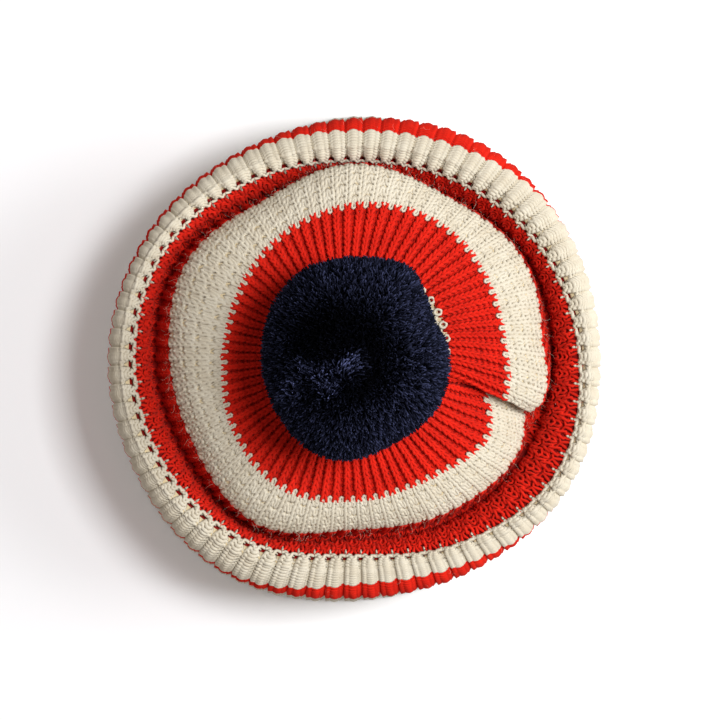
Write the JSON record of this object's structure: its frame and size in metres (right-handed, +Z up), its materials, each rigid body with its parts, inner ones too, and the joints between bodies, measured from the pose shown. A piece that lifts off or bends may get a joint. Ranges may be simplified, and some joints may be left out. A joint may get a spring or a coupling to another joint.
{
  "type": "knitted pompom hat",
  "caption": "Thick knitted hat with red and cream stripes, a rolled ribbed cuff and a dark yarn pompom, standing open side down with its crown sunk into the cuff.",
  "frame": {"origin": "centre of the hat's outline on the surface that the hem stands on", "axes": "+Z up through the pompom, +X towards the pleat in the crown, +Y towards the side where the crown leans over the rim"},
  "size_m": [0.1812, 0.1846, 0.1274],
  "materials": {
    "red_yarn": "matt knitted red yarn",
    "cream_yarn": "matt knitted cream yarn",
    "navy_yarn": "cut-pile navy yarn"
  },
  "bodies": {
    "root": {"crown": "red_yarn", "cuff": "cream_yarn", "pompom": "navy_yarn"}
  },
  "joints": []
}
